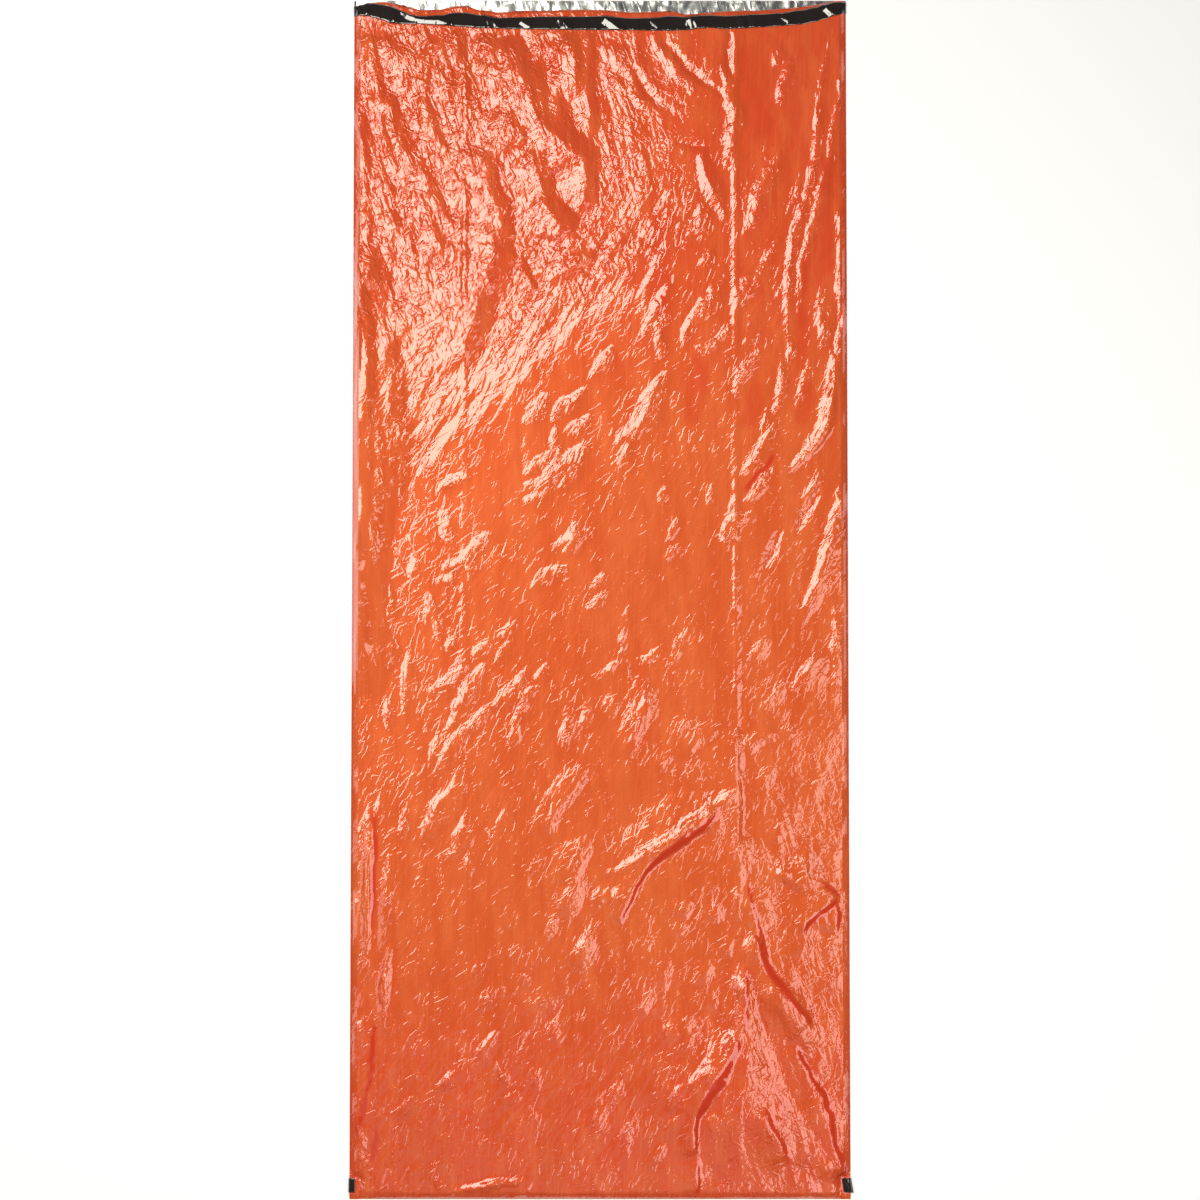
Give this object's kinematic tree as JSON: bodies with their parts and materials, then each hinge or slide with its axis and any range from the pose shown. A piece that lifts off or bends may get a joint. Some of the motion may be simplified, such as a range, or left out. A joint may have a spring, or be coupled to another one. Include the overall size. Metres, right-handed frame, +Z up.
{
  "type": "bivy bag",
  "caption": "Emergency bivy bag of crinkled orange metallised film, silver inside, lying flat with an open mouth edged in black tape.",
  "frame": {"origin": "under the middle of the bag, on the surface it lies on", "axes": "+Y along the bag from foot to mouth, +X across it, +Z up from the surface"},
  "size_m": [0.8973, 2.13, 0.0344],
  "materials": {
    "orange_film": "glossy, finely crinkled",
    "silver_film": "bright metallised film, crumpled",
    "black_tape": "glossy tape with creases"
  },
  "bodies": {
    "root": {"front_panel": "orange_film", "back_panel": "silver_film", "mouth_tape": "black_tape", "foot_tape_left": "black_tape", "foot_tape_right": "black_tape"}
  },
  "joints": []
}
